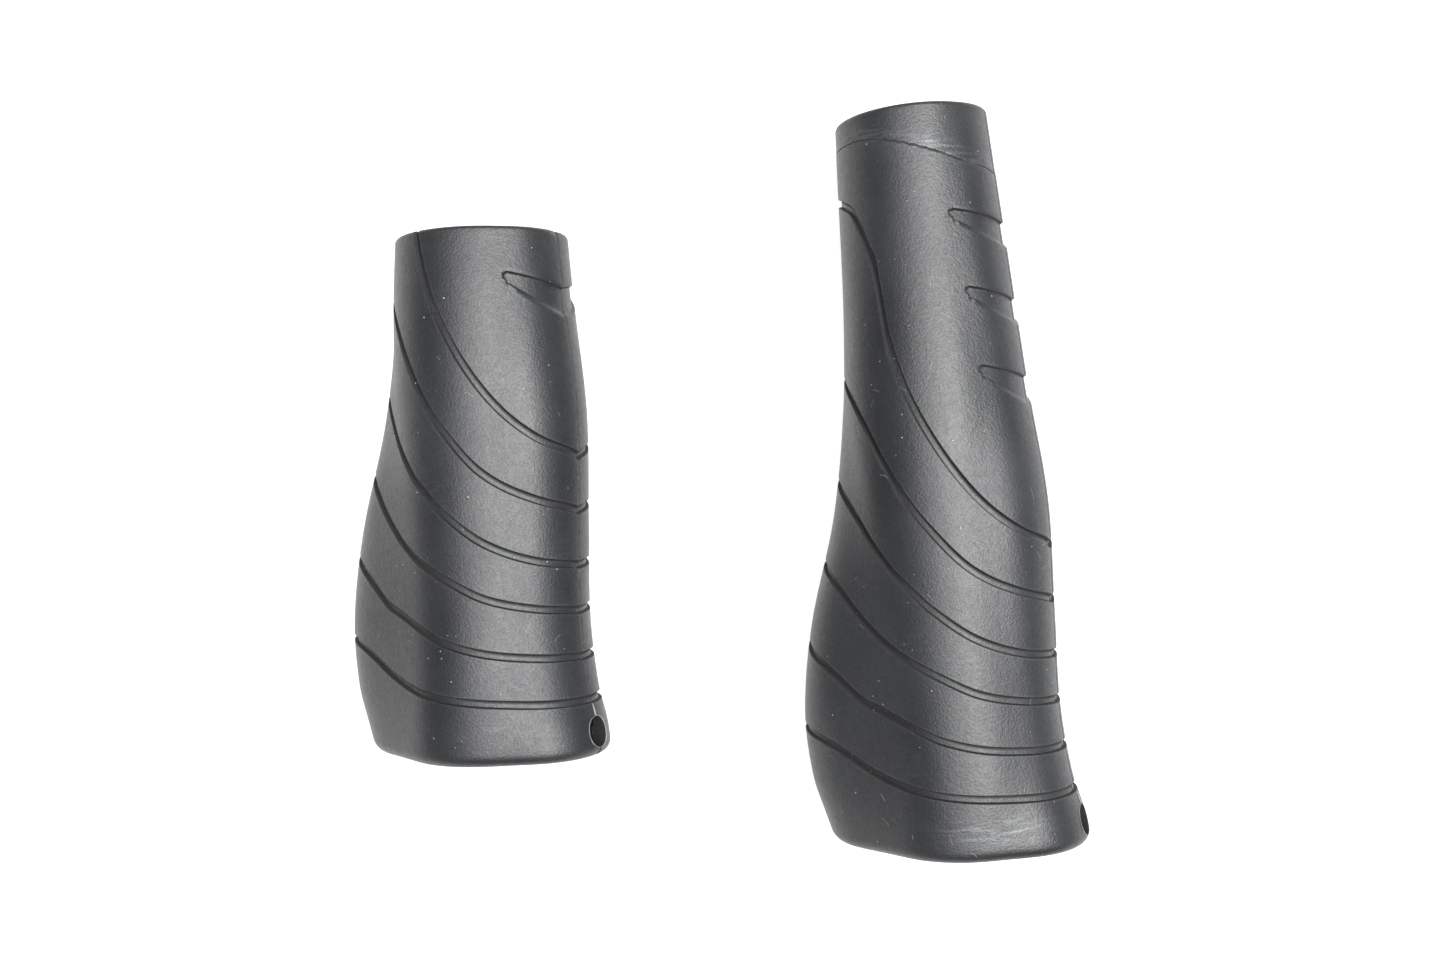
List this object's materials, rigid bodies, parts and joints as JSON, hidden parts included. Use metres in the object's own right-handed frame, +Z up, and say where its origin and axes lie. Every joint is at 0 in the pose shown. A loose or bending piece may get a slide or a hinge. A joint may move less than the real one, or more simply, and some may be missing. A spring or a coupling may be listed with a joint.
{
  "type": "handlebar grip pair",
  "caption": "Long and short moulded rubber handlebar grips with a palm swell, curved grooves, finger notches and a screwed lock for a round bar.",
  "frame": {"origin": "centre of the footprint, on the floor that the grips lie on", "axes": "+Y along the long grip's bar axis towards its inboard end, +X towards its finger edge, +Z up from the floor"},
  "size_m": [0.1307, 0.13, 0.035],
  "materials": {
    "black_rubber": "satin moulded rubber with a fine grain",
    "grey_nylon": "moulded nylon",
    "ring_aluminium": "turned and lightly brushed",
    "pad_brass": "turned",
    "screw_steel": "black oxide",
    "cap_plastic": "fine textured"
  },
  "bodies": {
    "long_grip": {"long_rubber_body": "black_rubber", "long_core_sleeve": "grey_nylon", "long_lock_ring": "ring_aluminium"},
    "short_grip": {"short_rubber_body": "black_rubber", "short_core_sleeve": "grey_nylon", "short_lock_ring": "ring_aluminium"},
    "long_pad": {"long_pressure_pad": "pad_brass"},
    "long_screw": {"long_set_screw": "screw_steel"},
    "long_cap": {"long_end_cap": "cap_plastic"},
    "short_pad": {"short_pressure_pad": "pad_brass"},
    "short_screw": {"short_set_screw": "screw_steel"},
    "short_cap": {"short_end_cap": "cap_plastic"}
  },
  "joints": [
    {"name": "short_grip_lift", "type": "slide", "parent": "long_grip", "child": "short_grip", "axis": [0, 0, 1], "range_m": [0, 0.06]},
    {"name": "long_pad_travel", "type": "slide", "parent": "long_grip", "child": "long_pad", "axis": [0.9033, 0, 0.4289], "range_m": [-0.00025, 0.0016]},
    {"name": "long_screw_turn", "type": "hinge", "parent": "long_pad", "child": "long_screw", "pos_m": [0.05805, -0.0607, 0.0246], "axis": [0.9033, 0, 0.4289], "range_deg": [-113, 721]},
    {"name": "long_cap_pull", "type": "slide", "parent": "long_grip", "child": "long_cap", "axis": [0, -1, 0], "range_m": [0, 0.02]},
    {"name": "short_pad_travel", "type": "slide", "parent": "short_grip", "child": "short_pad", "axis": [0.9025, -0.0394, 0.4289], "range_m": [-0.00025, 0.0016]},
    {"name": "short_screw_turn", "type": "hinge", "parent": "short_pad", "child": "short_screw", "pos_m": [-0.02488, -0.0383, 0.0246], "axis": [0.9025, -0.0394, 0.4289], "range_deg": [-113, 721]},
    {"name": "short_cap_pull", "type": "slide", "parent": "short_grip", "child": "short_cap", "axis": [-0.0436, -0.999, 0], "range_m": [0, 0.02]}
  ],
  "couplings": [
    {"joint": "long_screw_turn", "follows": "long_pad_travel", "rad_per_m": 7854},
    {"joint": "short_screw_turn", "follows": "short_pad_travel", "rad_per_m": 7854}
  ]
}
